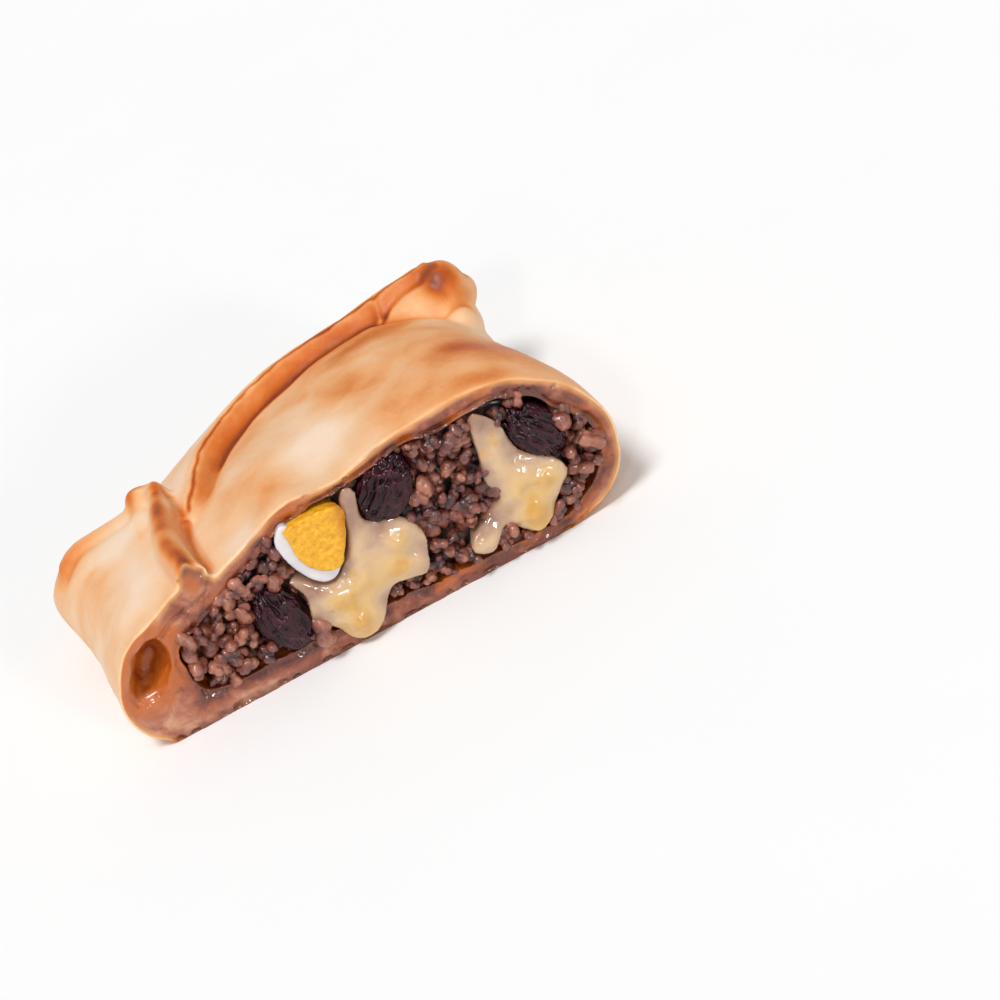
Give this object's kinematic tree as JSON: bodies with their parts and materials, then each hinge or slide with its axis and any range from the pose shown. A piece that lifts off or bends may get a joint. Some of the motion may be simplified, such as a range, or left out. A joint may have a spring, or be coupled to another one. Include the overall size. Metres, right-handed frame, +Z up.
{
  "type": "half empanada",
  "caption": "Half of a baked empanada cut across: folded browned pastry round minced beef with egg, melted cheese and raisins.",
  "frame": {"origin": "on the flat base, under the middle of the whole piece's bounding box", "axes": "+X along the cut towards the smooth folded side, +Y from the cut towards the end flap, +Z up"},
  "size_m": [0.112, 0.0722, 0.0374],
  "materials": {
    "pastry": "baked dough, satin egg-washed crust",
    "beef": "moist cooked minced beef",
    "cheese": "melted cheese, wet gloss",
    "egg_white": "boiled egg white, smooth",
    "egg_yolk": "boiled yolk, crumbly",
    "raisin": "wrinkled wet raisin"
  },
  "bodies": {
    "root": {"crust": "pastry", "beef_filling": "beef", "cheese_left": "cheese", "cheese_right": "cheese", "egg_white": "egg_white", "egg_yolk": "egg_yolk", "raisin_left": "raisin", "raisin_middle": "raisin", "raisin_right": "raisin"}
  },
  "joints": []
}
